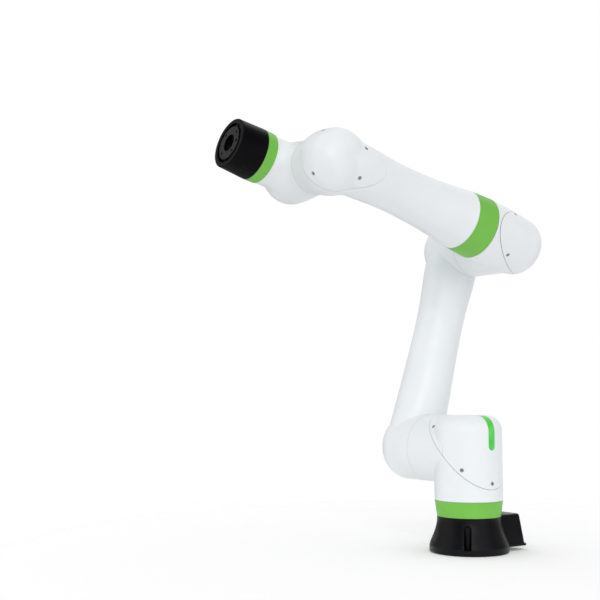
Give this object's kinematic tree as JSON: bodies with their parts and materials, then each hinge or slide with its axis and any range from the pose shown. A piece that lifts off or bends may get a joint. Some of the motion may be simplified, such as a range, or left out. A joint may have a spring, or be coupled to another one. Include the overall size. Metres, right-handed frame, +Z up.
{
  "type": "collaborative robot arm",
  "caption": "Jointed robot arm with tubular white elbow housings, green rings at its rolling joints, a black flanged base with a socket box and a black tool flange.",
  "frame": {"origin": "centre of the base's mounting face, on the axis of joint 1", "axes": "+Z up along joint 1, +X the way the arm reaches, -Y the side that the lower arm stands on; joints 2, 3 and 5 turn about Y"},
  "size_m": [0.6234, 0.28, 0.7749],
  "materials": {
    "white_casting": "satin white paint on cast aluminium",
    "black_casting": "semi-gloss black paint on cast aluminium",
    "green_ring": "satin green",
    "status_light": "diffusing lens, lit green",
    "screw_steel": "dull stainless screws",
    "flange_metal": "black anodised",
    "reducer_steel": "machined steel",
    "motor_shell": "wound motor in a dark housing, sealed",
    "circuit_board": "solder mask",
    "black_rubber": "black rubber: cable sheaths, gaskets and seals",
    "panel_metal": "black anodised sheet",
    "socket_plastic": "moulded plastic"
  },
  "bodies": {
    "base": {"base_casting": "black_casting", "base_bottom_cover": "panel_metal", "base_cover_screws": "screw_steel", "connector_housing": "black_casting", "connector_panel": "panel_metal", "connector_sockets": "socket_plastic", "base_ring": "green_ring", "j1_reducer": "reducer_steel", "j1_motor": "motor_shell", "j1_drive_board": "circuit_board"},
    "turret": {"turret_casting": "white_casting", "turret_cap": "white_casting", "turret_cap_screws": "screw_steel", "status_light": "status_light", "j1_output_hub": "reducer_steel", "j1_hub_screws": "screw_steel", "j2_reducer": "reducer_steel", "j2_motor": "motor_shell", "j2_drive_board": "circuit_board"},
    "lower_arm": {"lower_arm_casting": "white_casting", "lower_arm_shoulder_cap": "white_casting", "lower_arm_elbow_cap": "white_casting", "lower_arm_cap_screws": "screw_steel", "lower_arm_loom": "black_rubber", "lower_arm_hub_screws": "screw_steel", "j2_output_hub": "reducer_steel", "j3_output_hub": "reducer_steel"},
    "elbow": {"elbow_casting": "white_casting", "elbow_cap": "white_casting", "elbow_cap_screws": "screw_steel", "elbow_ring": "green_ring", "j3_reducer": "reducer_steel", "j3_motor": "motor_shell", "j3_drive_board": "circuit_board", "j4_reducer": "reducer_steel", "j4_motor": "motor_shell", "j4_drive_board": "circuit_board"},
    "forearm": {"forearm_casting": "white_casting", "forearm_cap": "white_casting", "forearm_cap_screws": "screw_steel", "forearm_loom": "black_rubber", "j4_output_hub": "reducer_steel", "j4_hub_screws": "screw_steel", "j5_reducer": "reducer_steel", "j5_motor": "motor_shell", "j5_drive_board": "circuit_board"},
    "wrist": {"wrist_casting": "white_casting", "wrist_cap": "white_casting", "wrist_cap_screws": "screw_steel", "wrist_ring": "green_ring", "j5_output_hub": "reducer_steel", "j5_hub_screws": "screw_steel", "j6_reducer": "reducer_steel", "j6_motor": "motor_shell", "j6_drive_board": "circuit_board"},
    "tool": {"tool_housing": "black_casting", "tool_flange": "flange_metal", "tool_flange_screws": "screw_steel", "j6_output_hub": "reducer_steel", "j6_hub_screws": "screw_steel"}
  },
  "joints": [
    {"name": "j1_base", "type": "hinge", "parent": "base", "child": "turret", "pos_m": [0, 0, 0], "axis": [0, 0, 1], "range_deg": [-200, 200]},
    {"name": "j2_shoulder", "type": "hinge", "parent": "turret", "child": "lower_arm", "pos_m": [0, 0, 0.185], "axis": [0, 1, 0], "range_deg": [-163.75, 196.25]},
    {"name": "j3_elbow", "type": "hinge", "parent": "lower_arm", "child": "elbow", "pos_m": [-0.11473, 0, 0.57862], "axis": [0, 1, 0], "range_deg": [-227.9, 46.1]},
    {"name": "j4_forearm", "type": "hinge", "parent": "elbow", "child": "forearm", "pos_m": [-0.11473, 0, 0.57862], "axis": [0.9643, 0, 0.2647], "range_deg": [-190, 190]},
    {"name": "j5_wrist", "type": "hinge", "parent": "forearm", "child": "wrist", "pos_m": [0.29993, 0, 0.69245], "axis": [0, 1, 0], "range_deg": [-180, 180]},
    {"name": "j6_tool", "type": "hinge", "parent": "wrist", "child": "tool", "pos_m": [0.29993, -0.13, 0.69245], "axis": [0.9643, 0, 0.2647], "range_deg": [-225, 225]}
  ]
}
